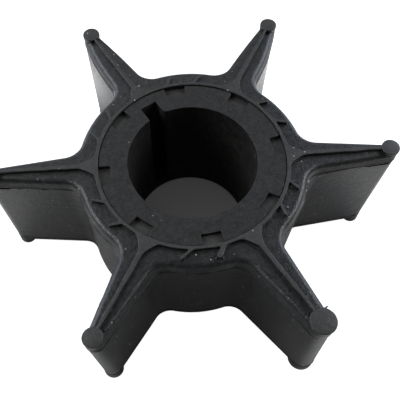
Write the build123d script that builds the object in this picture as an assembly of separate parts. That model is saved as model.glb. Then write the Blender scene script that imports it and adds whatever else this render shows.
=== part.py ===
from build123d import *
import math
import os

# Six-vane rubber pump impeller moulded on a keyed hub insert. Millimetres, +Z up.
# Origin: on the shaft axis, in the plane the lower ridges and bead ends rest on.
# Vane 0 points along +X, the others follow counter-clockwise seen from above.

# Overall
HEIGHT = 25.0            # ridge top to ridge top
VANES = 6
TIP_PITCH_R = 33.8       # circle through the bead axes
PARTING_DROP = 2.4       # the mould's parting line, below either ridge top
SHOULDER_DROP = 0.6      # shoulders lie this far below the ridge tops

# Rubber star
HUB_R = 19.7
VALLEY_R = 3.2           # fillet from hub to vane flank
FLANK_SLOPE_DEG = 6.56   # each flank closes on the vane's mid plane by this
TIP_HALF = 1.52          # half thickness at the tip, and the round of the tip

# Vanes that differ from the rest, by number: what is added at the parting lines
THICKER_ABOVE = {4: 0.06, 5: 0.42}   # each side
THICKER_BELOW = {4: 0.24, 5: 0.78}
LONGER_BELOW = {4: -0.6, 5: 0.8}     # the lower end's reach from the axis
BENT_BELOW_DEG = {5: 2.2}            # the lower end's turn about the axis

CAP_DRAFT_DEG = 9.0      # from the parting line to the shoulder
SHOULDER_ROUND = 1.1
BEAD_SETBACK = 0.04      # the beads are this much slimmer than the tip
BEAD_FOOTING = 1.0       # how far they run on below the parting line
FOOT_FLARE = 0.08        # the lower ends widen by this over the tip
FOOT_FLARE_HEIGHT = 1.1

# Raised pattern on both faces
RING_OUT_R = 16.5
RIDGE_HALF_ROOT = 0.42
RIDGE_HALF_TIP = 0.24
DELTA_HALF = 2.5         # half width of the three-cornered root, at the ring
DELTA_REACH_R = 18.9     # where the root has narrowed to the ridge
DELTA_HOLLOW = 0.12      # how far its sides curve in from straight
SLANT_WIDTH = 0.5
SLANT_OUT_R = 18.3
SLANT_ENDS_DEG = ((-3.2, -9.4), (12.9, 8.1))  # ring end and outer end, from mid valley
FOOTING = 0.8            # how deep the pattern is rooted in the shoulder
RING_OVERLAP = 0.6       # how far the roots run into the ring

# Hub insert
INSERT_R = 15.9
INSERT_SINK = 0.35       # its faces lie this far below the ridge tops
INSERT_EDGE = 0.25       # chamfer beside the rubber
BORE_R = 11.0
LEAD_IN = 0.9            # chamfer at the lower mouth of the bore
KEYWAY_DEG = 120.0
KEYWAY_W = 3.05
KEYWAY_WALL_R = 13.8
KEYWAY_FOOT = 3.5        # the keyway ends this far above the resting plane
MOUTH_ROUND = 0.9        # its clockwise mouth corner
MOUTH_ROUND_OTHER = 0.2
NOTCHES = 8
NOTCH_PHASE_DEG = 7.5
NOTCH_SPAN_DEG = 13.4
NOTCH_IN_R = 13.9
NOTCH_DEEP = 0.7
NOTCH_PAST = 1.0         # how far its cutting shape runs past the insert

ON_CIRCLE = 0.01         # a point this close to a circle lies on it


def polar(radius, degrees):
    a = math.radians(degrees)
    return Vector(radius * math.cos(a), radius * math.sin(a))


def vane_angle(i, lower=False):
    return 360.0 / VANES * i + (BENT_BELOW_DEG.get(i, 0) if lower else 0)


def tip_pitch(i, lower):
    return TIP_PITCH_R + (LONGER_BELOW.get(i, 0) if lower else 0)


def tip_half(i, lower):
    return TIP_HALF + (THICKER_BELOW if lower else THICKER_ABOVE).get(i, 0)


def flank_points(i, side, lower):
    """Hub tangent, valley mid point, flank root and flank tip of one side of a vane."""
    a = math.radians(FLANK_SLOPE_DEG)
    out = Vector(math.sin(a), side * math.cos(a))       # away from the vane's mid plane
    along = Vector(math.cos(a), -side * math.sin(a))    # toward the tip
    reach = tip_pitch(i, lower) * math.sin(a) + tip_half(i, lower)
    level = reach + VALLEY_R
    centre = out * level + along * math.sqrt((HUB_R + VALLEY_R) ** 2 - level**2)
    root = centre - out * VALLEY_R
    tip = Vector(tip_pitch(i, lower), 0) + out * tip_half(i, lower)
    on_hub = centre * (HUB_R / (HUB_R + VALLEY_R))
    toward = (root + on_hub) * 0.5 - centre
    mid = centre + toward.normalized() * VALLEY_R
    turn = vane_angle(i, lower)
    return [p.rotate(Axis.Z, turn) for p in (on_hub, mid, root, tip)]


def star_face(lower):
    """Plan of hub and vanes at the upper or the lower parting line."""
    edges = []
    for i in range(VANES):
        low, high = flank_points(i, -1, lower), flank_points(i, 1, lower)
        nose = polar(tip_pitch(i, lower) + tip_half(i, lower), vane_angle(i, lower))
        following = flank_points((i + 1) % VANES, -1, lower)[0]
        saddle = ((high[0] + following) * 0.5).normalized() * HUB_R
        edges += [
            ThreePointArc(low[0], low[1], low[2]),
            Line(low[2], low[3]),
            ThreePointArc(low[3], nose, high[3]),
            Line(high[3], high[2]),
            ThreePointArc(high[2], high[1], high[0]),
            ThreePointArc(high[0], saddle, following),
        ]
    return make_face(edges)


def rounded_cap(star):
    """Drafted cap above a parting line, its upper rim rounded."""
    cap = extrude(star, amount=PARTING_DROP - SHOULDER_DROP, taper=CAP_DRAFT_DEG)
    rim = cap.faces().sort_by(Axis.Z)[-1].outer_wire().edges()
    return fillet(rim, SHOULDER_ROUND)


def rubber_core():
    """Star between the two parting lines, with a cap above and one below."""
    upper, lower = star_face(lower=False), star_face(lower=True)
    upper_line = Pos(0, 0, HEIGHT - PARTING_DROP)
    lower_line = Pos(0, 0, PARTING_DROP)
    core = loft([lower_line * lower, upper_line * upper], ruled=True)
    caps = upper_line * rounded_cap(upper) + lower_line * rounded_cap(lower).mirror(Plane.XY)
    return core + caps


def ridge_plan():
    """One vane's ridge with its three-cornered root, along +X."""
    ring_x = math.sqrt(RING_OUT_R**2 - DELTA_HALF**2) - RING_OVERLAP
    corner = Vector(ring_x, DELTA_HALF)
    neck = Vector(DELTA_REACH_R, RIDGE_HALF_ROOT)
    tip = Vector(TIP_PITCH_R, RIDGE_HALF_TIP)
    chord = neck - corner
    hollow = Vector(chord.Y, -chord.X).normalized() * DELTA_HOLLOW
    half = [
        ThreePointArc(corner, (corner + neck) * 0.5 + hollow, neck),
        Line(neck, tip),
    ]
    other = [e.mirror(Plane.XZ) for e in half]
    ends = [
        Line(tip, Vector(tip.X, -tip.Y)),
        Line(corner, Vector(corner.X, -corner.Y)),
    ]
    return make_face(half + other + ends)


def slanted_rib(valley_deg, ring_deg, outer_deg):
    """Thin rib leaning across the shoulder between two vanes."""
    inner = polar(RING_OUT_R - SLANT_WIDTH, valley_deg + ring_deg)
    outer = polar(SLANT_OUT_R, valley_deg + outer_deg)
    lean = (outer - inner).normalized()
    across = Vector(-lean.Y, lean.X) * (SLANT_WIDTH / 2)
    return Polygon(
        inner - across, outer - across, outer + across, inner + across, align=None
    )


def raised_pattern(lower):
    """Ring, ridges, roots and slanted ribs of one face; the lower face is the upper turned over."""
    half_step = vane_angle(1) / 2
    way = -1 if lower else 1
    plan = Circle(RING_OUT_R) - Circle(INSERT_R)
    for i in range(VANES):
        plan += Rot(0, 0, vane_angle(i, lower)) * ridge_plan()
        for ring_deg, outer_deg in SLANT_ENDS_DEG:
            plan += slanted_rib(vane_angle(i) + half_step, way * ring_deg, way * outer_deg)
    deep = SHOULDER_DROP + FOOTING
    return Pos(0, 0, 0 if lower else HEIGHT - deep) * extrude(plan, amount=deep)


def beads(lower):
    """Round ends of the vanes on one face, flush with the ridges; the lower ones flare."""
    high = PARTING_DROP + BEAD_FOOTING
    ends = Part()
    for i in range(VANES):
        centre = polar(tip_pitch(i, lower), vane_angle(i, lower))
        radius = tip_half(i, lower) - BEAD_SETBACK
        middle = high / 2 if lower else HEIGHT - high / 2
        ends += Pos(centre.X, centre.Y, middle) * Cylinder(radius, high)
        if lower:
            flare = Cone(tip_half(i, lower) + FOOT_FLARE, radius, FOOT_FLARE_HEIGHT)
            ends += Pos(centre.X, centre.Y, FOOT_FLARE_HEIGHT / 2) * flare
    return ends


def vane_body():
    body = rubber_core()
    for lower in (False, True):
        body = body + beads(lower) + raised_pattern(lower)
    return body - Pos(0, 0, HEIGHT / 2) * Cylinder(INSERT_R, 2 * HEIGHT)


def turned_over(shape):
    """The same shape on the lower face: half a turn about vane 0."""
    return Pos(0, 0, HEIGHT) * Rot(180, 0, 0) * shape


def keyed_bore():
    """Plan of the bore with its keyway, the two mouth corners rounded differently."""
    inside = BORE_R - KEYWAY_W
    slot = Pos((inside + KEYWAY_WALL_R) / 2, 0) * Rectangle(KEYWAY_WALL_R - inside, KEYWAY_W)
    plan = Circle(BORE_R) + slot
    for low_side, radius in ((True, MOUTH_ROUND), (False, MOUTH_ROUND_OTHER)):
        mouth = [v for v in plan.vertices() if abs(math.hypot(v.X, v.Y) - BORE_R) < ON_CIRCLE]
        mouth = [v for v in mouth if 0 < v.X and (v.Y < 0) == low_side]
        plan = fillet(min(mouth, key=lambda v: abs(abs(v.Y) - KEYWAY_W / 2)), radius)
    return Rot(0, 0, KEYWAY_DEG) * plan


def notch():
    """Sector-shaped pocket in the upper face, open to the rubber."""
    wide = INSERT_R + NOTCH_PAST
    half = NOTCH_SPAN_DEG / 2
    inner = (polar(NOTCH_IN_R, -half), polar(NOTCH_IN_R, 0), polar(NOTCH_IN_R, half))
    outer = (polar(wide, -half), polar(wide, 0), polar(wide, half))
    plan = make_face([
        ThreePointArc(*inner),
        Line(inner[2], outer[2]),
        ThreePointArc(*outer),
        Line(outer[0], inner[0]),
    ])
    top = HEIGHT - INSERT_SINK
    return Pos(0, 0, top - NOTCH_DEEP) * extrude(plan, amount=2 * NOTCH_DEEP)


def insert_blank():
    """Turned ring with its edge chamfers and the lead-in of the lower bore mouth."""
    top, low = HEIGHT - INSERT_SINK, INSERT_SINK
    profile = Polyline(
        (BORE_R, top),
        (BORE_R, low + LEAD_IN),
        (BORE_R + LEAD_IN, low),
        (INSERT_R - INSERT_EDGE, low),
        (INSERT_R, low + INSERT_EDGE),
        (INSERT_R, top - INSERT_EDGE),
        (INSERT_R - INSERT_EDGE, top),
        close=True,
    )
    return revolve(Plane.XZ * make_face(profile), axis=Axis.Z)


def hub_insert():
    keyway = Pos(0, 0, KEYWAY_FOOT) * extrude(keyed_bore(), amount=HEIGHT)
    body = insert_blank() - keyway
    pocket = notch()
    for i in range(NOTCHES):
        cut = Rot(0, 0, NOTCH_PHASE_DEG + 360 / NOTCHES * i) * pocket
        body = body - cut - turned_over(cut)
    return body


os.makedirs("parts", exist_ok=True)
for name, shape in (("vane_body", vane_body()), ("hub_insert", hub_insert())):
    export_step(shape, f"parts/{name}.step")
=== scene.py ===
import math
from functools import partial

import bmesh
import bpy
import numpy as np
from bpy.props import FloatProperty, FloatVectorProperty, IntProperty, PointerProperty
from mathutils import Matrix, Vector
from mathutils.geometry import delaunay_2d_cdt


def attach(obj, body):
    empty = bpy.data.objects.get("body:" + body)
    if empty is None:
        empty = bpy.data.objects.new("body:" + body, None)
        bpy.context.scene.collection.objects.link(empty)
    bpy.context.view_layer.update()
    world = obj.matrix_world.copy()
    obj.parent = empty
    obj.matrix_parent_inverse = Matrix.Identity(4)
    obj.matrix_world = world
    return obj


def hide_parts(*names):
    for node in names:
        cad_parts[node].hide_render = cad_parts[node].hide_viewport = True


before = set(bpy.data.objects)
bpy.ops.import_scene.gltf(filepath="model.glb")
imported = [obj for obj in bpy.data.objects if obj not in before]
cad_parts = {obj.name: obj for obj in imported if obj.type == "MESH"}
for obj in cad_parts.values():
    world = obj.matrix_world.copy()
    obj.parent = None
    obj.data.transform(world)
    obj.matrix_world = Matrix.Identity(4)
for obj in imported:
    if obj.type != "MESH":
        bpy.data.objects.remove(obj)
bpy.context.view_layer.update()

bl_info = {
    "name": "Rubber Pump Impeller",
    "version": (1, 0, 0),
    "blender": (4, 5, 0),
    "location": "3D View > Sidebar > Impeller",
    "description": "Builds a moulded rubber pump impeller, its keyed hub ring and a studio stage",
    "category": "Add Mesh",
}

MM = 0.001
VANES = 6
BLACK, WHITE = (0.0, 0.0, 0.0, 1.0), (1.0, 1.0, 1.0, 1.0)
RUBBER_IOR = PHENOLIC_IOR = 1.55

# Points nearer than this are one point, and edges that turn more than this stay sharp
SAME_PLACE = 0.001 * MM
SHARP = math.radians(50)

# How finely each stretch is divided: of the star's outline, of the raised pattern and the rim,
# and round the rubber's socket, the bore, a vane's round end and a torn bit
VALLEY_STEPS, FLANK_STEPS, TIP_STEPS, HUB_STEPS = 14, 26, 18, 22
ROOT_STEPS, RING_STEPS, RIM_STEPS = 30, 24, 13
SOCKET_STEPS, BORE_STEPS, BEAD_STEPS, BIT_STEPS = 192, 160, 48, 10

# The set that two vanes have taken, by vane number: what the upper and the lower parting line add
THICKER = {False: {4: 0.06 * MM, 5: 0.42 * MM}, True: {4: 0.24 * MM, 5: 0.78 * MM}}
LONGER = {False: {}, True: {4: -0.6 * MM, 5: 0.8 * MM}}
BENT = {False: {}, True: {5: math.radians(2.2)}}

# How far the flanks of two vanes bow out at the upper parting line, by vane number and side
# (1 is the anticlockwise side)
BOWED = {(1, -1): 0.42 * MM, (1, 1): 0.12 * MM, (2, 1): 0.38 * MM, (2, -1): 0.12 * MM}

# Slanted ribs on the upper face that came out crooked, by valley and rib number: how much
# wider, and how far the ring end and the outer end lie off
CROOKED_RIBS = {
    (4, 0): (1.0, 0.0, math.radians(-1.3)),
    (4, 1): (1.6, math.radians(2.4), math.radians(0.2)),
}

# Pale spots painted on the skin, place of the middle and radius (mm): the first three are painted
# glints on torn flash at the parting line, the others pale marks on the ridge tops
GLINTS_AND_PALE_MARKS = (
    ((19.45, -4.37, 22.66), 0.36), ((18.78, -6.07, 22.68), 0.27), ((19.12, -5.30, 22.68), 0.14),
    ((16.62, 2.05, 25.0), 0.15), ((19.08, 0.10, 25.0), 0.12), ((17.3, 1.1, 25.0), 0.09),
)

# The thick vane's upper end is squeezed wider than the vane
SQUEEZED = {5: 1.06}

# Bits of torn flash: place of the middle, half sizes (mm) and turn (degrees)
TORN_BITS = (
    ((-15.15, -28.26, 24.40), (0.20, 0.20, 0.17), 0),
    ((14.93, -28.07, 24.40), (0.22, 0.20, 0.17), 0),
    ((19.07, 0.93, 24.46), (0.70, 0.10, 0.24), -70),
    ((18.28, -26.57, 22.62), (0.50, 0.14, 0.10), 30),
    ((2.40, -17.95, 24.42), (0.42, 0.20, 0.20), 25),
    ((3.30, -18.00, 24.42), (0.30, 0.20, 0.15), 60),
)

# Ring end and outer end of each slanted rib, in degrees from the middle of a valley
SLANTED_RIBS = ((-3.2, -9.4), (12.9, 8.1))

# How far a ridge's root runs on inside the ring, how hollow its sides are, and how far short of
# the middle of a vane's round end the ridge stops
ROOT_OVERLAP, ROOT_HOLLOW, RIDGE_STOP = 0.6 * MM, 0.12 * MM, 1.3 * MM

# The flash comes and goes over this length, and between these radii it changes from what it is
# round the hub to what it is at the vane ends
FLASH_LENGTH = 3.0 * MM
TIPS_FROM, TIPS_TO = 25.0 * MM, 32.0 * MM

# What the tree of raised bits places, in the order of the bits' kind
BIT_SHAPES = ("Upper Bead", "Lower Bead", "Torn Bit")


def length(name, description, millimetres):
    return FloatProperty(
        name=name, description=description, default=millimetres * MM, min=0.0,
        unit="LENGTH", precision=5,
    )


def angle(name, description, degrees):
    return FloatProperty(
        name=name, description=description, default=math.radians(degrees), unit="ROTATION"
    )


def colour(name, description, code):
    """A colour setting, given as sRGB hex and kept as linear light."""
    return FloatVectorProperty(
        name=name, description=description, default=linear(code), size=4, min=0.0, max=1.0,
        subtype="COLOR",
    )


def linear(code):
    """sRGB hex to linear RGBA."""
    parts = [int(code[i : i + 2], 16) / 255 for i in (1, 3, 5)]
    return tuple(
        c / 12.92 if c <= 0.04045 else ((c + 0.055) / 1.055) ** 2.4 for c in parts
    ) + (1.0,)


class RubberBodySettings(bpy.types.PropertyGroup):
    """Sizes and colours of the moulded rubber body."""

    height: length("Height", "Ridge top to ridge top", 25.0)
    tip_pitch: length("Tip Pitch", "Radius of the circle through the vane ends", 33.8)
    hub_radius: length("Hub Radius", "Outside of the rubber hub at the parting lines", 19.7)
    valley_radius: length("Valley Radius", "Fillet from hub to vane flank", 3.2)
    flank_slope: angle("Flank Slope", "Angle of each flank to the vane's mid plane", 6.56)
    tip_half: length("Tip Half", "Half thickness of a vane at its end", 1.52)
    parting_drop: length("Parting Drop", "From a ridge top to the mould's parting line", 2.4)
    shoulder_drop: length("Shoulder Drop", "From a ridge top to the shoulder", 0.6)
    draft: angle("Draft", "Slope of the wall between parting line and shoulder", 13.0)
    shoulder_round: length("Shoulder Round", "Radius of the shoulder's rim", 1.02)
    flash: length("Flash", "How far the rubber flash stands out of the parting line", 0.2)
    undercut: length("Undercut", "How far the wall lies behind the cap's lower edge", 0.07)
    groove: length("Groove", "Depth of the seam under the upper flash", 0.2)
    flash_seed: IntProperty(name="Flash Seed", description="Varies the flash", default=7)
    socket_radius: length("Socket Radius", "Where the rubber meets the hub ring", 15.9)
    ring_radius: length("Ring Radius", "Outside of the raised ring", 16.5)
    root_half: length("Root Half", "Half width of a ridge's three-cornered root", 2.5)
    root_reach: length("Root Reach", "Radius at which the root has narrowed to the ridge", 18.9)
    ridge_half: length("Ridge Half", "Half width of a ridge at its root", 0.42)
    ridge_half_tip: length("Ridge Half at Tip", "Half width of a ridge at the vane's end", 0.24)
    rib_reach: length("Rib Reach", "Radius at which the slanted ribs end", 18.3)
    rib_width: length("Rib Width", "Width of a slanted rib", 0.5)
    edge: length("Edge", "Rounding of the raised pattern's edges", 0.1)
    foot: length("Foot", "Fillet where the raised pattern meets the shoulder", 0.07)
    waviness: length("Waviness", "How much the raised pattern's edges wander", 0.035)
    flare: length("Flare", "How much a vane's lower end widens over its tip", 0.075)
    rubber_colour: colour("Rubber", "Black rubber as moulded", "#1A1B1C")
    lapped_colour: colour("Lapped Face", "Rubber where the faces are trimmed flush", "#353533")
    dust_colour: colour("Dust", "Specks of dust and talc", "#B4B4B0")
    # colour of the painted glints on torn flash and of the pale marks on the ridge tops
    glint_and_mark_colour: colour("Fleck", "Torn skin that has gone pale", "#D0D0CC")


class HubRingSettings(bpy.types.PropertyGroup):
    """Sizes and colours of the keyed ring inside the rubber."""

    radius: length("Radius", "Outside of the ring", 15.9)
    sink: length("Sink", "How far its faces lie below the ridge tops", 0.22)
    rim: length("Rim", "Chamfer beside the rubber", 0.05)
    bore: length("Bore Radius", "Radius of the shaft bore", 11.0)
    lead_in: length("Lead-in", "Chamfer at the lower mouth of the bore", 0.9)
    keyway_angle: angle("Keyway Angle", "Where the keyway stands", 120.0)
    keyway_width: length("Keyway Width", "Width of the keyway", 3.05)
    keyway_wall: length("Keyway Wall", "Radius of the keyway's outer wall", 13.8)
    keyway_foot: length("Keyway Foot", "Height at which the keyway ends", 3.5)
    mouth_round: length("Mouth Round", "Rounding of the keyway's clockwise corner", 0.9)
    mouth_round_other: length("Other Mouth Round", "Rounding of its other corner", 0.2)
    notches: IntProperty(name="Notches", description="Notches on each face", default=8, min=1)
    notch_phase: angle("Notch Phase", "Angle of the first notch", 7.5)
    notch_span: angle("Notch Span", "Angle that one notch takes up", 13.4)
    notch_radius: length("Notch Radius", "Radius of a notch's inner wall", 13.9)
    notch_depth: length("Notch Depth", "Depth of a notch", 0.7)
    edge: length("Edge", "Rounding of the ring's edges", 0.1)
    hub_colour: colour("Hub", "Dark grey moulded hub material", "#1A1A19")
    notch_colour: colour("Notch Floor", "Paler moulded skin in the notches", "#3C3C3B")
    dust_colour: colour("Dust", "Specks of dust and talc", "#9C9C99")


class StageSettings(bpy.types.PropertyGroup):
    """Floor, camera and lights."""

    floor_size: length("Floor Size", "Side of the floor", 3000.0)
    floor_colour: colour("Floor", "Matte white paper", "#C6C6C5")
    # the paper down the bore is given a colour this many times brighter: painted light on paper
    # that lies in shade
    floor_shade: FloatProperty(
        name="Floor Shade", description="Paper's brightness down the bore", default=1.4
    )
    eye: FloatVectorProperty(
        name="Eye", description="Where the camera stands", size=3, subtype="TRANSLATION",
        default=(-5.368 * MM, -49.459 * MM, 100.812 * MM),
    )
    azimuth: angle("Azimuth", "Camera's turn about the shaft axis", -3.94)
    elevation: angle("Elevation", "Camera's angle above the floor", 65.77)
    roll: angle("Roll", "Camera's turn about its own line of sight", -0.21)
    lens: FloatProperty(name="Lens", description="Focal length in mm", default=47.99)
    shift: FloatVectorProperty(
        name="Shift", description="Lens shift that frames the object as photographed", size=2,
        default=(0.047, 0.110),
    )


def polar(radius, turn):
    return np.stack([radius * np.cos(turn), radius * np.sin(turn)], -1)


def turned(points, turn):
    c, s = math.cos(turn), math.sin(turn)
    return points @ np.array([[c, s], [-s, c]])


def unit(vectors):
    return vectors / np.linalg.norm(vectors, axis=-1, keepdims=True)


def mirrored(points):
    return points * np.array([1.0, -1.0])


def vane_angle(i, lower=False):
    return 2 * math.pi / VANES * i + BENT[lower].get(i, 0.0)


def tip_pitch(s, i, lower):
    return s.tip_pitch + LONGER[lower].get(i, 0.0)


def tip_half(s, i, lower):
    return s.tip_half + THICKER[lower].get(i, 0.0)


def vane_side(s, i, lower, side=1):
    """One side of a vane along +X, from hub to tip: points, outward directions, hub angle."""
    pitch, half = tip_pitch(s, i, lower), tip_half(s, i, lower)
    sine, cosine = math.sin(s.flank_slope), math.cos(s.flank_slope)
    out, along = np.array([sine, cosine]), np.array([cosine, -sine])
    level = pitch * sine + half + s.valley_radius
    middle = out * level
    middle = middle + along * math.sqrt((s.hub_radius + s.valley_radius) ** 2 - level**2)
    hub_angle = math.atan2(middle[1], middle[0])
    sweep = np.linspace(math.pi + hub_angle, 1.5 * math.pi - s.flank_slope, VALLEY_STEPS + 1)
    spokes = polar(1.0, sweep)
    valley = middle + spokes * s.valley_radius
    tip = np.array([pitch, 0.0]) + out * half
    share = np.linspace(0, 1, FLANK_STEPS + 1)[1:, None]
    flank = valley[-1] * (1 - share) + tip * share
    if not lower:
        flank = flank + out * np.sin(math.pi * share) * BOWED.get((i, side), 0.0)
    points = np.concatenate([valley, flank])
    outs = np.concatenate([-spokes, np.repeat(out[None], FLANK_STEPS, 0)])
    return points, outs, hub_angle


def star_outline(s, lower):
    """Hub and vanes at one parting line, anticlockwise: points and outward directions."""
    points, outs = [], []

    def add(more, directions, turn=0.0):
        points.append(turned(more, turn))
        outs.append(turned(directions, turn))

    for i in range(VANES):
        turn = vane_angle(i, lower)
        flank, flank_out, _ = vane_side(s, i, lower, -1)
        add(mirrored(flank)[:-1], mirrored(flank_out)[:-1], turn)
        flank, flank_out, hub_angle = vane_side(s, i, lower)
        reach = math.pi / 2 - s.flank_slope
        spokes = polar(1.0, np.linspace(-reach, reach, TIP_STEPS + 1))
        centre = np.array([tip_pitch(s, i, lower), 0.0])
        add((centre + spokes * tip_half(s, i, lower))[:-1], spokes[:-1], turn)
        add(flank[:0:-1], flank_out[:0:-1], turn)
        following = (i + 1) % VANES
        gap_end = vane_angle(following, lower) - vane_side(s, following, lower)[2]
        if following == 0:
            gap_end += 2 * math.pi
        spokes = polar(1.0, np.linspace(turn + hub_angle, gap_end, HUB_STEPS + 1))
        add(spokes[:-1] * s.hub_radius, spokes[:-1])
    return np.concatenate(points), np.concatenate(outs)


def resampled(loop, step):
    """The closed loop with points an even distance apart."""
    closed = np.vstack([loop, loop[:1]])
    run = np.concatenate([[0], np.cumsum(np.linalg.norm(np.diff(closed, axis=0), axis=1))])
    at = np.linspace(0, run[-1], int(run[-1] / step) + 1)[:-1]
    return np.stack([np.interp(at, run, closed[:, k]) for k in (0, 1)], -1)


def softened(loop, passes):
    """Rounds every corner of the evenly spaced loop."""
    for _ in range(passes):
        loop = (np.roll(loop, 1, 0) + 2 * loop + np.roll(loop, -1, 0)) / 4
    return loop


def thinned(loop, most_turn=math.radians(7), most_step=1.0 * MM):
    """The loop without points where it runs straight, and the outward directions of the rest."""
    out = unit(softened(outward(loop), 4))
    ahead = np.roll(loop, -1, 0) - loop
    heading = np.unwrap(np.arctan2(ahead[:, 1], ahead[:, 0]))
    keep, last, since = [0], heading[0], 0.0
    for k in range(1, len(loop)):
        since += np.linalg.norm(ahead[k - 1])
        if abs(heading[k] - last) > most_turn or since > most_step:
            keep.append(k)
            last, since = heading[k], 0.0
    return loop[keep], out[keep]


def outward(loop):
    """Directions pointing out of an anticlockwise loop."""
    along = np.roll(loop, -1, 0) - np.roll(loop, 1, 0)
    return unit(np.stack([along[:, 1], -along[:, 0]], -1))


def moved_out(loop, out, step, tries=40, backward=-1e-14):
    """The loop moved out by a step, its points drawn together where it would fold over."""
    moved = loop + out * step
    ahead = np.roll(loop, -1, 0) - loop
    for _ in range(tries):
        forward = ((np.roll(moved, -1, 0) - moved) * ahead).sum(1)
        folded = np.flatnonzero(forward < backward)
        if not len(folded):
            break
        for k in folded:
            j = (k + 1) % len(loop)
            moved[k] = moved[j] = (moved[k] + moved[j]) / 2
    return moved


def ridge_path(s, i, lower):
    """A ridge with its three-cornered root, from the ring round its outer end and back."""
    inner_x = math.sqrt(s.ring_radius**2 - s.root_half**2) - ROOT_OVERLAP
    corner = np.array([inner_x, s.root_half])
    neck = np.array([s.root_reach, s.ridge_half])
    chord = neck - corner
    hollow = unit(np.array([chord[1], -chord[0]])) * ROOT_HOLLOW
    pull = (corner + neck) / 2 + 2 * hollow
    t = np.linspace(0, 1, ROOT_STEPS)[:, None]
    side = corner * (1 - t) ** 2 + pull * 2 * t * (1 - t) + neck * t**2
    side = side[np.hypot(side[:, 0], side[:, 1]) > s.ring_radius]
    end_x = tip_pitch(s, i, lower) - RIDGE_STOP
    share = (end_x - neck[0]) / (s.tip_pitch - neck[0])
    end = np.array([end_x, s.ridge_half * (1 - share) + s.ridge_half_tip * share])
    side = np.vstack([side, end])
    return turned(np.vstack([mirrored(side), side[::-1]]), vane_angle(i, lower))


def rib_path(s, width, valley, ring_turn, outer_turn):
    """A slanted rib, from the ring round its outer end and back."""
    inner = polar(s.ring_radius - width, valley + ring_turn)
    outer = polar(s.rib_reach, valley + outer_turn)
    lean = unit(outer - inner)
    across = np.array([-lean[1], lean[0]]) * width / 2
    feet = []
    for way in (-1, 1):
        start = inner + way * across
        b, c = start @ lean, start @ start - s.ring_radius**2
        feet.append(start + lean * (-b + math.sqrt(b * b - c)))
    return np.array([feet[0], outer - across, outer + across, feet[1]])


def pattern_outline(s, lower):
    """Outside of one face's ring, ridges, roots and slanted ribs: points and directions."""
    way = -1 if lower else 1
    paths = []
    for i in range(VANES):
        paths.append(ridge_path(s, i, lower))
        valley = vane_angle(i) + math.pi / VANES
        for k, ends in enumerate(SLANTED_RIBS):
            ring_turn, outer_turn = (math.radians(way * d) for d in ends)
            crooked = {} if lower else CROOKED_RIBS
            wider, ring_off, outer_off = crooked.get((i, k), (1, 0, 0))
            paths.append(rib_path(
                s, s.rib_width * wider, valley, ring_turn + ring_off, outer_turn + outer_off
            ))
    first = math.radians(-20)
    paths.sort(key=lambda p: (math.atan2(p[0][1], p[0][0]) - first) % (2 * math.pi))
    loop = []
    for path, following in zip(paths, paths[1:] + paths[:1]):
        a0 = math.atan2(path[-1][1], path[-1][0])
        a1 = math.atan2(following[0][1], following[0][0])
        gap = (a1 - a0) % (2 * math.pi)
        loop += [path, polar(s.ring_radius, np.linspace(a0, a0 + gap, RING_STEPS))[1:-1]]
    corner_passes, wander_passes = 14, 60
    loop = softened(resampled(np.concatenate(loop), 0.1 * MM), corner_passes)
    wander = np.random.default_rng(s.flash_seed + lower).normal(size=(len(loop), 1))
    wander = softened(wander, wander_passes)
    # the edges wander where they run straight, and hold still round the corners
    out = outward(loop)
    straight = np.linalg.norm(softened(out, wander_passes), axis=1, keepdims=True) ** 8
    return thinned(loop + out * straight * wander / wander.std() * s.waviness)


def at_height(loop, z):
    return np.column_stack([loop, np.full(len(loop), z)])


def circle_rows(profile, steps):
    """A circle of points about Z for each radius and height."""
    turns = np.linspace(0, 2 * math.pi, steps, endpoint=False)
    return [at_height(polar(r, turns), z) for r, z in profile]


def loop_rows(loop, out, profile):
    """The loop moved out by each step, at each height."""
    return [at_height(moved_out(loop, out, step), z) for step, z in profile]


def add_skin(mesh, rows):
    """Quads between neighbouring closed rows of equally many points."""
    rings = [[mesh.verts.new(p) for p in row] for row in rows]
    for below, above in zip(rings, rings[1:]):
        for k in range(len(below)):
            j = (k + 1) % len(below)
            mesh.faces.new((below[k], below[j], above[j], above[k]))


def add_flat(mesh, loops, z):
    """Triangles at one height between nested closed loops."""
    # millimetres, because the triangulation takes points this near as one
    points, near = np.concatenate(loops) / MM, 1e-5
    edges, start = [], 0
    for loop in loops:
        n = len(loop)
        edges += [(start + k, start + (k + 1) % n) for k in range(n)]
        start += n
    made = delaunay_2d_cdt([Vector(p) for p in points], edges, [], 0, near)
    corners = np.array([tuple(v) for v in made[0]])
    triangles = np.array([f for f in made[2] if len(f) == 3])
    middle = corners[triangles].mean(1)
    # a triangle between the loops has an odd number of their edges to its right
    crossings = np.zeros(len(middle), int)
    for a, b in edges:
        p, q = points[a], points[b]
        spans = (p[1] > middle[:, 1]) != (q[1] > middle[:, 1])
        x = p[0] + (middle[:, 1] - p[1]) / (q[1] - p[1] + 1e-30) * (q[0] - p[0])
        crossings += spans & (x > middle[:, 0])
    verts = [mesh.verts.new((x * MM, y * MM, z)) for x, y in corners]
    for triangle in triangles[crossings % 2 == 1]:
        mesh.faces.new([verts[k] for k in triangle])


def add_lathe(mesh, profile, steps):
    """A turned solid about Z; the profile starts and ends on the axis."""
    add_skin(mesh, circle_rows(profile[1:-1], steps))
    verts = list(mesh.verts)
    for ring, (_, z) in ((verts[:steps], profile[0]), (verts[-steps:], profile[-1])):
        pole = mesh.verts.new((0, 0, z))
        for k in range(steps):
            mesh.faces.new((ring[k], ring[(k + 1) % steps], pole))


def in_scene(name, data):
    """A new object in the scene, with this mesh, light or camera."""
    made = bpy.data.objects.new(name, data)
    bpy.context.scene.collection.objects.link(made)
    return made


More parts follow.
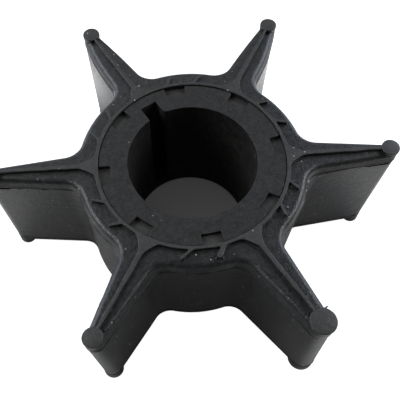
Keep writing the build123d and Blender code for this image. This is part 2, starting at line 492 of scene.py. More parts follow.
def to_object(mesh, name):
    """Closes the seams, points the faces outwards and puts the mesh in the scene."""
    bmesh.ops.remove_doubles(mesh, verts=mesh.verts, dist=SAME_PLACE)
    bmesh.ops.recalc_face_normals(mesh, faces=mesh.faces)
    data = bpy.data.meshes.new(name)
    mesh.to_mesh(data)
    mesh.free()
    return in_scene(name, data)


def check_closed(obj):
    """Stops the script if the object's mesh isn't closed."""
    mesh = bmesh.new()
    mesh.from_mesh(obj.data)
    count = sum(1 for e in mesh.edges if not e.is_manifold)
    mesh.free()
    if count:
        raise RuntimeError(f"{obj.name} has {count} open edges")


def settled(obj, name):
    """The object with its modifiers turned into a plain mesh."""
    bpy.context.view_layer.update()
    ready = obj.evaluated_get(bpy.context.evaluated_depsgraph_get())
    data = bpy.data.meshes.new_from_object(ready)
    obj.modifiers.clear()
    obj.data = data
    obj.name = data.name = name
    return obj


def finished(obj, name, material):
    """Shades the faces smooth up to the real edges and lets the large faces stay flat."""
    obj.data.polygons.foreach_set("use_smooth", [True] * len(obj.data.polygons))
    obj.data.set_sharp_from_angle(angle=SHARP)
    weighted = obj.modifiers.new("weighted", "WEIGHTED_NORMAL")
    weighted.keep_sharp = True
    settled(obj, name)
    obj.data.materials.clear()
    obj.data.materials.append(material)
    return obj


# The kinds of node that the trees use most
MATH, VECTOR = "ShaderNodeMath", "ShaderNodeVectorMath"
RANGE, NOISE = "ShaderNodeMapRange", "ShaderNodeTexNoise"


def add_node(tree, kind, inputs=(), **settings):
    """Adds a node with its settings and returns its outputs; each input, in order or by name, is
    a value or the socket that feeds it."""
    node = tree.nodes.new(kind)
    for name, value in settings.items():
        setattr(node, name, value)
    for key, value in inputs.items() if isinstance(inputs, dict) else enumerate(inputs):
        if isinstance(value, bpy.types.NodeSocket):
            tree.links.new(value, node.inputs[key])
        else:
            node.inputs[key].default_value = value
    return node.outputs


def new_geometry_tree(name, sockets):
    """A Geometry Nodes tree with named inputs: the tree, what adds a node to it, its inputs."""
    tree = bpy.data.node_groups.new(name, "GeometryNodeTree")
    tree.is_modifier = True
    for way in ("OUTPUT", "INPUT"):
        tree.interface.new_socket("Geometry", in_out=way, socket_type="NodeSocketGeometry")
    for socket, kind in sockets.items():
        tree.interface.new_socket(socket, in_out="INPUT", socket_type="NodeSocket" + kind)
    add = partial(add_node, tree)
    return tree, add, add("NodeGroupInput")


def end_geometry_tree(add, given, geometry):
    """Ends a tree in Realize Instances and Set Material."""
    real = add("GeometryNodeRealizeInstances", (geometry,))[0]
    dressed = add("GeometryNodeSetMaterial", {"Geometry": real, "Material": given["Material"]})[0]
    add("NodeGroupOutput", (dressed,))


def run_tree(obj, tree, values):
    """Adds the tree to the object as a modifier, with its inputs set by identifier."""
    modifier = obj.modifiers.new(tree.name, "NODES")
    modifier.node_group = tree
    for item in tree.interface.items_tree:
        if item.in_out == "INPUT" and item.name in values:
            modifier[item.identifier] = values[item.name]


def side_wall_tree():
    """Sweeps the section round the star, leaning from one outline to the other, with flash."""
    tree, add, given = new_geometry_tree("impeller side wall", {
        "Section": "Object", "Points Round": "Int", "Rows": "Int", "Flash": "Float",
        "Flash Length": "Float", "Groove": "Float", "Seed": "Float", "Tips From": "Float",
        "Tips To": "Float", "Material": "Material",
    })
    around, rows = given["Points Round"], given["Rows"]
    columns = add(MATH, (around, 1.0), operation="ADD")[0]
    grid = add("GeometryNodeMeshGrid", {"Vertices X": columns, "Vertices Y": rows})["Mesh"]
    index = add("GeometryNodeInputIndex")[0]
    row = add(MATH, (index, rows), operation="MODULO")[0]
    column = add(MATH, (index, rows), operation="DIVIDE")[0]
    column = add(MATH, (column,), operation="FLOOR")[0]
    column = add(MATH, (column, around), operation="MODULO")[0]

    # each point of the grid reads its place round the outline and its place up the section
    lean, out, out_change, marks = [
        add("GeometryNodeInputNamedAttribute", {"Name": name}, data_type="FLOAT_VECTOR")[0]
        for name in ("lean", "out", "out_change", "marks")
    ]
    here = add("GeometryNodeInputPosition")[0]
    outline = given["Geometry"]
    section = add("GeometryNodeObjectInfo", {"Object": given["Section"]})["Geometry"]
    place, lean, out, out_change, part, marks = [
        add("GeometryNodeSampleIndex", {"Geometry": source, "Value": value, "Index": at},
            data_type="FLOAT_VECTOR", domain="POINT")[0]
        for source, value, at in (
            (outline, here, column), (outline, lean, column), (outline, out, column),
            (outline, out_change, column), (section, here, row), (section, marks, row),
        )
    ]
    inset, _, height = add("ShaderNodeSeparateXYZ", (part,))
    share, lip, seam = add("ShaderNodeSeparateXYZ", (marks,))
    place = add(VECTOR, (lean, share, place), operation="MULTIPLY_ADD")[0]
    out = add(VECTOR, (out_change, share, out), operation="MULTIPLY_ADD")[0]
    out = add(VECTOR, (out,), operation="NORMALIZE")[0]
    reach = add(VECTOR, (place,), operation="LENGTH")["Value"]
    lifted = add("ShaderNodeCombineXYZ", {"Z": height})[0]
    place = add(VECTOR, (place, lifted), operation="ADD")[0]

    # ragged flash, strong in some stretches and thin at the vane ends, over a seam that is
    # open at the vane ends and nearly closed round the hub
    spread = add(MATH, (1.0, given["Flash Length"]), operation="DIVIDE")[0]
    noise = add(NOISE, {
        "Vector": place, "W": given["Seed"], "Scale": spread, "Detail": 4.0, "Roughness": 0.7,
    }, noise_dimensions="4D")[0]
    ragged = add(RANGE, (noise, 0.36, 0.68, 0.15, 1.0))[0]
    tips = (reach, given["Tips From"], given["Tips To"])
    thin = add(RANGE, (*tips, 1.0, 0.25))[0]
    opened = add(RANGE, (*tips, 0.25, 1.0))[0]
    flash, groove = given["Flash"], given["Groove"]
    for share in (lip, ragged, thin):
        flash = add(MATH, (flash, share), operation="MULTIPLY")[0]
    for share in (seam, opened):
        groove = add(MATH, (groove, share), operation="MULTIPLY")[0]
    step = add(MATH, (flash, inset), operation="SUBTRACT")[0]
    step = add(MATH, (step, groove), operation="SUBTRACT")[0]
    place = add(VECTOR, (out, step, place), operation="MULTIPLY_ADD")[0]
    wall = add("GeometryNodeSetPosition", {"Geometry": grid, "Position": place})[0]
    closed = add("GeometryNodeMergeByDistance", {"Geometry": wall, "Distance": SAME_PLACE})[0]
    end_geometry_tree(add, given, closed)
    return tree


def raised_bits_tree():
    """Puts a bead on each vane end and a torn bit at each mark, each turned and scaled."""
    tree, add, given = new_geometry_tree("impeller raised bits", {
        **dict.fromkeys(BIT_SHAPES, "Object"), "Material": "Material",
    })
    kind, size, turn = [
        add("GeometryNodeInputNamedAttribute", {"Name": name}, data_type="FLOAT_VECTOR")[0]
        for name in ("kind", "size", "turn")
    ]
    kind = add("ShaderNodeSeparateXYZ", (kind,))[0]
    together = tree.nodes.new("GeometryNodeJoinGeometry")
    for number, name in enumerate(BIT_SHAPES):
        shape = add("GeometryNodeObjectInfo", {"Object": given[name]})["Geometry"]
        # input 12 of Compare is how far apart equal numbers may be
        chosen = add("FunctionNodeCompare", {0: kind, 1: float(number), 12: 0.1},
                     operation="EQUAL")[0]
        placed = add("GeometryNodeInstanceOnPoints", {
            "Points": given["Geometry"], "Selection": chosen, "Instance": shape,
            "Scale": size, "Rotation": turn,
        })[0]
        tree.links.new(placed, together.inputs[0])
    end_geometry_tree(add, given, together.outputs[0])
    return tree


def new_material(name):
    """An empty node material, what adds a node to it, and its coordinates in millimetres."""
    material = bpy.data.materials.new(name)
    material.use_nodes = True
    material.node_tree.nodes.clear()
    add = partial(add_node, material.node_tree)
    where = add("ShaderNodeTexCoord")["Object"]
    where = add(VECTOR, {0: where, "Scale": 1 / MM}, operation="SCALE")[0]
    return material, add, where


def end_material(add, inputs):
    """Ends a material in one shader with these inputs."""
    add("ShaderNodeOutputMaterial", {"Surface": add("ShaderNodeBsdfPrincipled", inputs)[0]})


def from_axis(add, where):
    """Distance from the shaft axis, and X, Y and Z, all in millimetres."""
    x, y, z = add("ShaderNodeSeparateXYZ", (where,))
    flat = add("ShaderNodeCombineXYZ", (x, y))[0]
    return add(VECTOR, (flat,), operation="LENGTH")["Value"], x, y, z


def brightened(colour, share):
    return tuple(min(1.0, c * share) for c in colour[:3]) + (1.0,)


def painted(add, ground, layers):
    """The ground colour with further colours over it, each where its share says."""
    for share, colour in layers:
        ground = add("ShaderNodeMix", {0: share, 6: ground, 7: colour}, data_type="RGBA")[2]
    return ground


def pebbled(add, grain, mottle, depth):
    """The surface direction of a skin pebbled by grain and mottling."""
    height = add(MATH, (mottle, 1.2, grain), operation="MULTIPLY_ADD")[0]
    return add("ShaderNodeBump", {"Height": height, "Strength": 1.0, "Distance": depth})[0]


def dust_mask(add, where, spacing, largest, share):
    """Round soft specks on a share of places, with their spacing and largest size in mm."""
    cells = add("ShaderNodeTexVoronoi", {"Vector": where, "Scale": 1 / spacing, "Randomness": 1.0})
    pick, size, _ = add("ShaderNodeSeparateColor", (cells["Color"],))
    chosen = add(MATH, (pick, share), operation="LESS_THAN")[0]
    radius = add(RANGE, (size, 0, 1, 0.25 * largest, 0.5 * largest))[0]
    away = add(MATH, (cells["Distance"], spacing), operation="MULTIPLY")[0]
    away = add(MATH, (away, radius), operation="DIVIDE")[0]
    return add(RANGE, (away, 1.0, 0.6, 0.0, chosen))[0]


def moulded_rubber(s):
    """Black nitrile rubber, compression moulded in an eroded steel tool: a satin skin whose fine
    pebble grain breaks up the highlights, a grey bloom in soft patches, and duller grey faces
    where it was trimmed flush."""
    material, add, where = new_material("nitrile_rubber_moulded")
    reach, _, _, height = from_axis(add, where)
    # millimetres across, detail and roughness of each pattern; the real grain is finer than a
    # pixel, so it is drawn a little coarser
    grain, mottle, bloom, wax, stretch = [
        add(NOISE, {
            "Vector": where, "Scale": 1 / across, "Detail": detail, "Roughness": rough,
        })[0]
        for across, detail, rough in (
            (0.3, 3.0, 0.65), (1.1, 4.0, 0.6), (9.0, 3.0, 0.55), (0.45, 4.0, 0.7), (4.0, 5.0, 0.7)
        )
    ]
    # both faces, within a few hundredths of a millimetre of the ridge tops
    top = s.height / MM
    lapped = add(RANGE, (height, top - 0.05, top - 0.01))[0]
    lapped = add(RANGE, (height, 0.05, 0.01, lapped, 1.0))[0]
    layers = [
        (add(RANGE, (mottle, 0.38, 0.68))[0], brightened(s.rubber_colour, 2.4)),
        (lapped, s.lapped_colour),
        (dust_mask(add, where, 1.2, 0.36, 0.40), s.dust_colour),
    ]
    # painted glints on torn flash at the parting line, and pale marks on the ridge tops
    for place, radius in GLINTS_AND_PALE_MARKS:
        away = add(VECTOR, (where, place), operation="DISTANCE")["Value"]
        layers.append((add(RANGE, (away, radius, 0.5 * radius))[0], s.glint_and_mark_colour))
    # painted shade: the seam under the upper flash is painted black where the flash's shadow
    # falls, thickest at the vane ends, elsewhere in stretches
    seam = (s.height - s.parting_drop) / MM
    below = add(MATH, (seam, height), operation="SUBTRACT")[0]
    tips = add(RANGE, (reach, 28.0, 34.0, 0.0, 0.25))[0]
    stretch = add(MATH, (stretch, tips), operation="ADD")[0]
    deep = add(RANGE, (stretch, 0.47, 0.68, 0.2, 0.86))[0]
    left = add(MATH, (deep, below), operation="SUBTRACT")[0]
    seam_shade = add(RANGE, (below, 0.05, 0.1))[0]
    seam_shade = add(RANGE, (left, 0.0, 0.2, 0.0, seam_shade))[0]
    layers.append((seam_shade, BLACK))
    # waxy bloom makes the skin's sheen uneven, and the painted seam shade has none
    sheen = add(RANGE, (wax, 0.3, 0.7, 0.34, 0.66))[0]
    sheen = add(RANGE, (seam_shade, 0.0, 1.0, sheen, 0.0))[0]
    gloss = add(RANGE, (bloom, 0.3, 0.7, 0.30, 0.38))[0]
    roughness = add(MATH, (lapped, 0.18, gloss), operation="MULTIPLY_ADD")[0]
    end_material(add, {
        "Base Color": painted(add, s.rubber_colour, layers), "Roughness": roughness,
        "Specular IOR Level": sheen, "IOR": RUBBER_IOR,
        "Normal": pebbled(add, grain, mottle, 0.08 * MM),
    })
    return material


def moulded_hub(s, height):
    """Glass-filled black phenolic, moulded: flatter and greyer than the rubber, mottled by the
    filler that lies at its skin, with a dull bore."""
    material, add, where = new_material("filled_phenolic_moulded")
    reach, _, _, z = from_axis(add, where)
    # millimetres across, detail and roughness of grain, mottling and uneven sheen; the real
    # grain is finer than a pixel, so it is drawn a little coarser
    grain, mottle, filler = [
        add(NOISE, {
            "Vector": where, "Scale": 1 / across, "Detail": detail, "Roughness": rough,
        })[0]
        for across, detail, rough in ((0.3, 3.0, 0.7), (1.3, 5.0, 0.7), (0.6, 4.0, 0.75))
    ]
    # the notches keep the pale skin of the moulding on their floors and a little way up
    pale_from = (height - s.sink - s.notch_depth) / MM + 0.32
    inner = s.notch_radius / MM
    pale = add(RANGE, (reach, inner, inner + 0.1))[0]
    pale = add(RANGE, (z, pale_from, pale_from - 0.1, 0.0, pale))[0]
    end_material(add, {
        "Base Color": painted(add, s.hub_colour, [
            (add(RANGE, (mottle, 0.36, 0.7))[0], brightened(s.hub_colour, 2.6)),
            (pale, s.notch_colour),
            (dust_mask(add, where, 1.2, 0.3, 0.3), s.dust_colour),
        ]),
        "Roughness": add(RANGE, (mottle, 0.3, 0.7, 0.44, 0.58))[0],
        "Specular IOR Level": add(RANGE, (filler, 0.3, 0.7, 0.26, 0.54))[0],
        "IOR": PHENOLIC_IOR, "Normal": pebbled(add, grain, mottle, 0.06 * MM),
    })
    return material


def cap_rows(s):
    """Inset and height above the parting line, up a cap's drafted wall and round its rim."""
    cap = s.parting_drop - s.shoulder_drop
    middle_rise = cap - s.shoulder_round
    middle_inset = middle_rise * math.tan(s.draft) + s.shoulder_round / math.cos(s.draft)
    return [
        (middle_inset - s.shoulder_round * math.cos(t),
         middle_rise + s.shoulder_round * math.sin(t))
        for t in np.linspace(s.draft, math.pi / 2, RIM_STEPS)
    ]


def section_rows(s):
    """Inset, height, share of the upper outline, flash and groove, from lower to upper rim."""
    slope = math.tan(s.draft)
    seam = [
        (s.undercut, -0.5 * MM, 0, 0), (s.undercut, -0.3 * MM, 0, 0),
        (s.undercut, -0.24 * MM, 0, 1), (s.undercut, -0.1 * MM, 0, 1),
        (0.0, -0.06 * MM, 0.9, 0), (0.0, 0.0, 1, 0), (0.0, 0.05 * MM, 0.8, 0),
        (0.11 * MM * slope, 0.11 * MM, 0, 0), (0.3 * MM * slope, 0.3 * MM, 0, 0),
    ]
    seam += [(inset, rise, 0, 0) for inset, rise in cap_rows(s)]
    parting = s.height - s.parting_drop
    upper = [(inset, parting + rise, flash, groove) for inset, rise, flash, groove in seam]
    lower = [(inset, s.parting_drop - rise, 0.3 * flash, 0) for inset, rise, flash, _ in seam]
    wall = [
        (s.undercut, lower[0][1] * (1 - t) + upper[0][1] * t, 0, 0)
        for t in np.linspace(0, 1, 9)[1:-1]
    ]
    span = s.height - 2 * s.parting_drop
    return [
        (inset, z, min(1.0, max(0.0, (z - s.parting_drop) / span)), flash, groove)
        for inset, z, flash, groove in lower[::-1] + wall + upper
    ]


def point_object(name, points, **vectors):
    """A mesh of loose points with attributes, for a node tree to read."""
    data = bpy.data.meshes.new(name)
    data.from_pydata([tuple(p) for p in points], [], [])
    for title, values in vectors.items():
        attribute = data.attributes.new(title, "FLOAT_VECTOR", "POINT")
        attribute.data.foreach_set("vector", np.asarray(values, np.float32).ravel())
    return in_scene(name, data)


def side_wall(s, material):
    """The star's whole outer wall from the lower shoulder to the upper one."""
    low, low_out = star_outline(s, True)
    high, high_out = star_outline(s, False)
    wall = point_object(
        "side_wall", at_height(low, 0.0), lean=at_height(high - low, 0.0),
        out=at_height(low_out, 0.0), out_change=at_height(high_out - low_out, 0.0),
    )
    rows = section_rows(s)
    section = point_object(
        "section", [(inset, 0.0, z) for inset, z, *_ in rows], marks=[row[2:] for row in rows]
    )
    run_tree(wall, side_wall_tree(), {
        "Section": section, "Points Round": len(low), "Rows": len(rows), "Flash": s.flash,
        "Flash Length": FLASH_LENGTH, "Groove": s.groove, "Seed": float(s.flash_seed),
        "Tips From": TIPS_FROM, "Tips To": TIPS_TO, "Material": material,
    })
    settled(wall, "side_wall")
    bpy.data.objects.remove(section)
    return wall


def shoulder_loop(s, lower):
    """Where the rounded rim runs out into the flat shoulder."""
    points, outs = star_outline(s, lower)
    return points - outs * cap_rows(s)[-1][0]


def add_face(mesh, s, lower):
    """One face of the body: shoulder, raised pattern, and the socket's wall to mid height."""
    def height(z):
        return s.height - z if lower else z

    loop, out = pattern_outline(s, lower)
    shoulder, top = s.height - s.shoulder_drop, s.height
    rise = (
        (s.foot, shoulder), (s.foot * 0.35, shoulder + s.foot * 0.2),
        (0.03 * MM, shoulder + s.foot * 0.8), (0.0, top - s.edge * 1.3),
        (-s.edge * 0.25, top - s.edge * 0.5), (-s.edge * 0.6, top - s.edge * 0.12),
        (-s.edge * 1.1, top),
    )
    rows = loop_rows(loop, out, [(step, height(z)) for step, z in rise])
    add_skin(mesh, rows)
    add_flat(mesh, [shoulder_loop(s, lower), rows[0][:, :2]], height(shoulder))
    socket = s.socket_radius
    inner = (
        (socket + 0.08 * MM, top), (socket + 0.03 * MM, top - 0.03 * MM),
        (socket, top - 0.08 * MM), (socket, top - 0.26 * MM), (socket, s.height / 2),
    )
    inner_rows = circle_rows([(r, height(z)) for r, z in inner], SOCKET_STEPS)
    add_flat(mesh, [rows[-1][:, :2], inner_rows[0][:, :2]], height(top))
    add_skin(mesh, inner_rows)


def bead_profile(s, lower):
    """Radius and height of a vane's round end, from its pole down into the vane."""
    radius = s.tip_half
    if lower:
        profile = [
            (-0.14, 0), (-0.04, 0.05), (0.0, 0.16), (0.0, 0.5), (-0.03, 1.0), (-0.07, 1.7),
            (-0.16, 2.4), (-0.5, 3.0),
        ]
        rows = [(radius + s.flare + r * MM, z * MM) for r, z in profile]
        return [(0, 0), *rows, (0, rows[-1][1])]
    profile = [
        (-0.02, -s.parting_drop / MM), (0.0, -s.parting_drop / MM + 0.06), (-0.05, -1.0),
        (-0.08, -0.8), (-0.24, -0.72), (-0.22, -0.62), (-0.02, -0.56), (0.02, -0.46),
        (0.03, -0.12), (0.0, -0.03), (-0.07, 0.0),
    ]
    rows = [(radius + r * MM, s.height + z * MM) for r, z in profile]
    return [(0, rows[0][1]), *rows, (0, s.height)]


def bit_profile():
    """A ball of unit radius, to be squashed into a bit of torn flash."""
    turns = np.linspace(-math.pi / 2, math.pi / 2, 9)
    return [(math.cos(t), math.sin(t)) for t in turns]


def raised_bits(s, material):
    """The twelve round vane ends and the bits of torn flash."""
    shapes = {}
    made = ((bead_profile(s, False), BEAD_STEPS), (bead_profile(s, True), BEAD_STEPS),
            (bit_profile(), BIT_STEPS))
    for name, (profile, steps) in zip(BIT_SHAPES, made):
        mesh = bmesh.new()
        add_lathe(mesh, profile, steps)
        shapes[name] = to_object(mesh, name)
    places, sizes, turns, kinds = [], [], [], []
    for lower in (False, True):
        for i in range(VANES):
            x, y = polar(tip_pitch(s, i, lower), vane_angle(i, lower))
            flare, squeezed = (s.flare, {}) if lower else (0.0, SQUEEZED)
            scale = (tip_half(s, i, lower) + flare) / (s.tip_half + flare) * squeezed.get(i, 1.0)
            places.append((x, y, 0.0))
            sizes.append((scale, scale, 1.0))
            turns.append((0.0, 0.0, 0.0))
            kinds.append((int(lower), 0, 0))
    for place, half_sizes, turn in TORN_BITS:
        places.append([c * MM for c in place])
        sizes.append([c * MM for c in half_sizes])
        turns.append((0.0, 0.0, math.radians(turn)))
        kinds.append((2, 0, 0))
    bits = point_object("raised_bits", places, size=sizes, turn=turns, kind=kinds)
    run_tree(bits, raised_bits_tree(), {**shapes, "Material": material})
    settled(bits, "raised_bits")
    for shape in shapes.values():
        bpy.data.objects.remove(shape)
    return bits


class OBJECT_OT_rubber_body(bpy.types.Operator):
    """Builds the moulded rubber body: hub, six vanes, ring, ridges, ribs and beads"""

    bl_idname = "impeller.rubber_body"
    bl_label = "Rubber Body"

    def execute(self, context):
        s = context.scene.impeller_body
        material = moulded_rubber(s)
        wall = side_wall(s, material)
        mesh = bmesh.new()
        mesh.from_mesh(wall.data)
        bpy.data.objects.remove(wall)
        for lower in (False, True):
            add_face(mesh, s, lower)
        body = to_object(mesh, "rubber_core")
        check_closed(body)
        bits = raised_bits(s, material)
        union = body.modifiers.new("bits", "BOOLEAN")
        union.operation, union.solver, union.object = "UNION", "EXACT", bits
        settled(body, "rubber_body")
        bpy.data.objects.remove(bits)
        finished(body, "rubber_body", material)
        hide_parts("vane_body")
        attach(body, "root")
        return {"FINISHED"}


def keyed_outline(s):
    """The bore with its keyway, anticlockwise, its two mouth corners rounded differently."""
    half = s.keyway_width / 2
    path = []
    for radius in (s.mouth_round, s.mouth_round_other):
        y = half + radius
        x = math.sqrt((s.bore + radius) ** 2 - y**2)
        on_bore = math.atan2(y, x)
        corner = polar(radius, np.linspace(math.pi + on_bore, 1.5 * math.pi, 8)) + (x, y)
        path.append((np.vstack([corner, (s.keyway_wall, half)]), on_bore))
    (low, low_angle), (high, high_angle) = path
    bore = polar(s.bore, np.linspace(high_angle, 2 * math.pi - low_angle, 150))[1:-1]
    return turned(np.vstack([mirrored(low), high[::-1], bore]), s.keyway_angle)


def notched_outline(s, lower):
    """The ring's face at its rim, running in round each notch, anticlockwise."""
    rim = s.radius - s.rim
    way = -1 if lower else 1
    middles = sorted(way * (s.notch_phase + 2 * math.pi / s.notches * k) % (2 * math.pi)
                     for k in range(s.notches))
    loop = []
    half = s.notch_span / 2
    for k, middle in enumerate(middles):
        following = middles[(k + 1) % s.notches] + (2 * math.pi if k + 1 == s.notches else 0)
        loop.append(polar(rim, middle - half)[None])
        loop.append(polar(s.notch_radius, np.linspace(middle - half, middle + half, 16)))
        loop.append(polar(rim, np.linspace(middle + half, following - half, 20))[:-1])
    return thinned(softened(resampled(np.concatenate(loop), 0.1 * MM), 3), most_step=0.8 * MM)


def add_hub_face(mesh, s, height, bore_rows, lower):
    """One face of the ring with its notches and rim; bore_rows start at the face."""
    def place(z):
        return height - z if lower else z

    loop, out = notched_outline(s, lower)
    top, floor, edge = height - s.sink, height - s.sink - s.notch_depth, s.edge
    # the wall is the notches' own, and elsewhere it lies a hair inside the rubber
    hair = 0.02 * MM
    reach = np.linalg.norm(loop, axis=1, keepdims=True)
    wall = np.where(reach < s.radius - s.rim - hair, loop, loop / reach * (s.radius - hair))
    rows = loop_rows(loop, out, (
        (-edge, place(top)), (-edge * 0.3, place(top - edge * 0.25)), (0.0, place(top - edge)),
    ))
    rows += [at_height(wall, place(top - s.rim)), at_height(wall, place(floor))]
    add_skin(mesh, rows)
    outer, = circle_rows([(s.radius, place(floor))], SOCKET_STEPS)
    add_flat(mesh, [outer[:, :2], wall], place(floor))
    add_flat(mesh, [rows[0][:, :2], bore_rows[0][:, :2]], place(top))
    add_skin(mesh, bore_rows)
    return outer


class OBJECT_OT_hub_ring(bpy.types.Operator):
    """Builds the keyed ring that the rubber is moulded round"""

    bl_idname = "impeller.hub_ring"
    bl_label = "Hub Ring"

    def execute(self, context):
        s = context.scene.impeller_hub
        height = context.scene.impeller_body.height
        top, low, edge = height - s.sink, s.sink, s.edge
        keyed = softened(resampled(keyed_outline(s), 0.08 * MM), 2)
        keyed, out = thinned(keyed, most_step=0.7 * MM)
        mesh = bmesh.new()
        upper_bore = loop_rows(keyed, out, (
            (edge, top), (edge * 0.3, top - edge * 0.25), (0.0, top - edge), (0.0, s.keyway_foot),
        ))
        # the bore below the keyway is a hair narrower than above it
        narrow = s.bore - 0.03 * MM
        lower_bore = circle_rows((
            (s.bore + s.lead_in + edge, low),
            (s.bore + s.lead_in - edge * 0.2, low + edge * 0.3),
            (s.bore + edge * 0.3, low + s.lead_in - edge * 0.2),
            (narrow, low + s.lead_in + edge), (narrow, s.keyway_foot),
        ), BORE_STEPS)
        walls = [
            add_hub_face(mesh, s, height, upper_bore, False),
            add_hub_face(mesh, s, height, lower_bore, True),
        ]
        add_skin(mesh, walls[::-1])
        add_flat(mesh, [keyed, lower_bore[-1][:, :2]], s.keyway_foot)
        ring = to_object(mesh, "hub_ring")
        check_closed(ring)
        finished(ring, "hub_ring", moulded_hub(s, height))
        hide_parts("hub_insert")
        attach(ring, "root")
        return {"FINISHED"}


def white_paper(s):
    """Matte white background paper: burnt out to the camera, as in the photograph, but for the
    round piece that is seen down the bore, which lies in the hub's own shade."""
    material, add, where = new_material("background_paper_matte")
    reach, x, y, _ = from_axis(add, where)
    aside = add(MATH, (x,), operation="ABSOLUTE")[0]
    open_paper = add(RANGE, (reach, 13.0, 18.0))[0]
    fibre = add(NOISE, {"Vector": where, "Scale": 1 / 3.0, "Detail": 3.0})[0]
    fibre = add(RANGE, (fibre, 0.3, 0.7, 0.0, 0.02))[0]
    # painted shadow: the strip straight before the front valley is painted dark, as if the camera
    # shaded it
    shadow_strip = add(RANGE, (reach, 32.0, 40.0))[0]
    shadow_strip = add(RANGE, (aside, 16.5, 10.0, 0.0, shadow_strip))[0]
    shadow_strip = add(MATH, (shadow_strip, 0.65), operation="MULTIPLY")[0]
    # painted light: down the bore the paper's colour is brightened by the floor shade; the shadow
    # strip and the fibre darken it
    paper = painted(add, brightened(s.floor_colour, s.floor_shade), [
        (open_paper, s.floor_colour), (shadow_strip, BLACK), (fibre, BLACK),
    ])
    # painted light: the paper glows, though it is no lamp, so that the object mirrors paper that
    # is bright beside and behind it, brightest at the back, and dim near its front
    side = add(RANGE, (aside, 14.0, 24.0))[0]
    glow = add(RANGE, (reach, 33.5, 45.0, 0.0, side))[0]
    behind = add(RANGE, (y, -40.0, 30.0, 0.4, 1.4))[0]
    far = add(RANGE, (reach, 49.0, 60.0, 1.0, 0.15))[0]
    for share in (behind, far):
        glow = add(MATH, (glow, share), operation="MULTIPLY")[0]
    near = add(RANGE, (reach, 50.0, 75.0, 0.05, 0.0))[0]
    near = add(RANGE, (shadow_strip, 0.0, 1.0, near, 0.0))[0]
    for other in (near, add("ShaderNodeLightPath")["Is Camera Ray"]):
        glow = add(MATH, (glow, other), operation="MAXIMUM")[0]
    # down the bore the glow is cut to a faint painted glow on the shaded paper
    shade = add(RANGE, (open_paper, 0.0, 1.0, 0.024, 1.0))[0]
    glow = add(MATH, (glow, shade), operation="MULTIPLY")[0]
    end_material(add, {
        "Base Color": paper, "Roughness": 0.95, "Specular IOR Level": 0.1,
        "Emission Color": WHITE, "Emission Strength": glow,
    })
    return material


# Soft boxes: direction and height in degrees, width and height in metres, radiance, colour
LIGHTS = {
    "soft_box_left": (174, 37, 0.38, 0.46, 7.4, "#FFFFFF"),
    "soft_box_right": (8, 32, 0.38, 0.46, 6.8, "#FFFFFF"),
    "window_back_left": (141, 17, 0.50, 0.66, 3.0, "#DCE8FF"),
    "window_back_right": (39, 19, 0.50, 0.66, 2.7, "#D6E4FF"),
    "fill_back": (98, 41, 0.55, 0.38, 1.2, "#FFFFFF"),
    "fill_front": (278, 34, 0.60, 0.40, 0.04, "#FFFFFF"),
    "fill_top": (125, 74, 0.45, 0.35, 0.14, "#FFFFFF"),
}
LIGHT_DISTANCE = 0.9

# Camera: sensor width in millimetres, and the nearest and farthest that it sees in metres
SENSOR_WIDTH = 36.0
CLIP_START, CLIP_END = 0.005, 10.0


def add_light(name, turn, rise, width, tall, radiance, code):
    """A soft box that faces the object; turn and rise in degrees, radiance in W/(m2 sr)."""
    data = bpy.data.lights.new(name, "AREA")
    data.shape = "RECTANGLE"
    data.size, data.size_y = width, tall
    data.energy = radiance * math.pi * width * tall
    data.color = linear(code)[:3]
    lamp = in_scene(name, data)
    a, e = math.radians(turn), math.radians(rise)
    away = Vector((math.cos(a) * math.cos(e), math.sin(a) * math.cos(e), math.sin(e)))
    lamp.location = away * LIGHT_DISTANCE
    lamp.rotation_mode = "QUATERNION"
    lamp.rotation_quaternion = away.to_track_quat("Z", "Y")


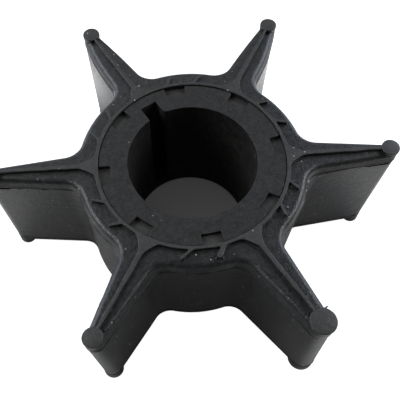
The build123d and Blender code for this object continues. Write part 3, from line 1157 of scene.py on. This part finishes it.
class OBJECT_OT_stage(bpy.types.Operator):
    """Adds the pale floor, the soft studio lights and the camera"""

    bl_idname = "impeller.stage"
    bl_label = "Stage"

    def execute(self, context):
        scene = context.scene
        s = scene.impeller_stage
        mesh = bmesh.new()
        bmesh.ops.create_grid(mesh, x_segments=8, y_segments=8, size=s.floor_size / 2)
        data = bpy.data.meshes.new("floor")
        mesh.to_mesh(data)
        mesh.free()
        data.materials.append(white_paper(s))
        floor = in_scene("floor", data)

        a, e, roll = s.azimuth, s.elevation, s.roll
        right = Vector((math.cos(a), math.sin(a), 0))
        back = Vector((math.sin(a) * math.cos(e), -math.cos(a) * math.cos(e), math.sin(e)))
        up = back.cross(right)
        right, up = (right * math.cos(roll) + up * math.sin(roll),
                     up * math.cos(roll) - right * math.sin(roll))
        facing = Matrix((right, up, back)).transposed().to_4x4()
        lens = bpy.data.cameras.new("camera")
        lens.lens, lens.sensor_width = s.lens, SENSOR_WIDTH
        lens.shift_x, lens.shift_y = s.shift
        lens.clip_start, lens.clip_end = CLIP_START, CLIP_END
        scene.camera = in_scene("camera", lens)
        scene.camera.matrix_world = Matrix.Translation(s.eye) @ facing

        # the room is white to the camera and dim to the object
        scene.world = bpy.data.worlds.new("studio")
        scene.world.use_nodes = True
        scene.world.node_tree.nodes.clear()
        add = partial(add_node, scene.world.node_tree)
        seen = add("ShaderNodeLightPath")["Is Camera Ray"]
        strength = add(RANGE, (seen, 0.0, 1.0, 0.06, 1.0))[0]
        room = add("ShaderNodeBackground", {"Color": WHITE, "Strength": strength})[0]
        add("ShaderNodeOutputWorld", {"Surface": room})
        for name, values in LIGHTS.items():
            add_light(name, *values)

        scene.view_settings.view_transform = "Standard"
        scene.view_settings.look = "None"
        return {"FINISHED"}


class VIEW3D_PT_impeller(bpy.types.Panel):
    """Lists the impeller's operators"""

    bl_label = "Impeller"
    bl_idname = "VIEW3D_PT_impeller"
    bl_space_type = "VIEW_3D"
    bl_region_type = "UI"
    bl_category = "Impeller"

    def draw(self, context):
        for operator in OPERATORS:
            self.layout.operator(operator.bl_idname)


SETTINGS = {
    "impeller_body": RubberBodySettings,
    "impeller_hub": HubRingSettings,
    "impeller_stage": StageSettings,
}
OPERATORS = (OBJECT_OT_rubber_body, OBJECT_OT_hub_ring, OBJECT_OT_stage)
CLASSES = (*SETTINGS.values(), *OPERATORS, VIEW3D_PT_impeller)


def register():
    for cls in CLASSES:
        bpy.utils.register_class(cls)
    for name, cls in SETTINGS.items():
        setattr(bpy.types.Scene, name, PointerProperty(type=cls))


def unregister():
    for name in SETTINGS:
        delattr(bpy.types.Scene, name)
    for cls in reversed(CLASSES):
        bpy.utils.unregister_class(cls)


def main():
    register()
    bpy.ops.impeller.rubber_body()
    bpy.ops.impeller.hub_ring()
    bpy.ops.impeller.stage()


if __name__ == "__main__":
    main()
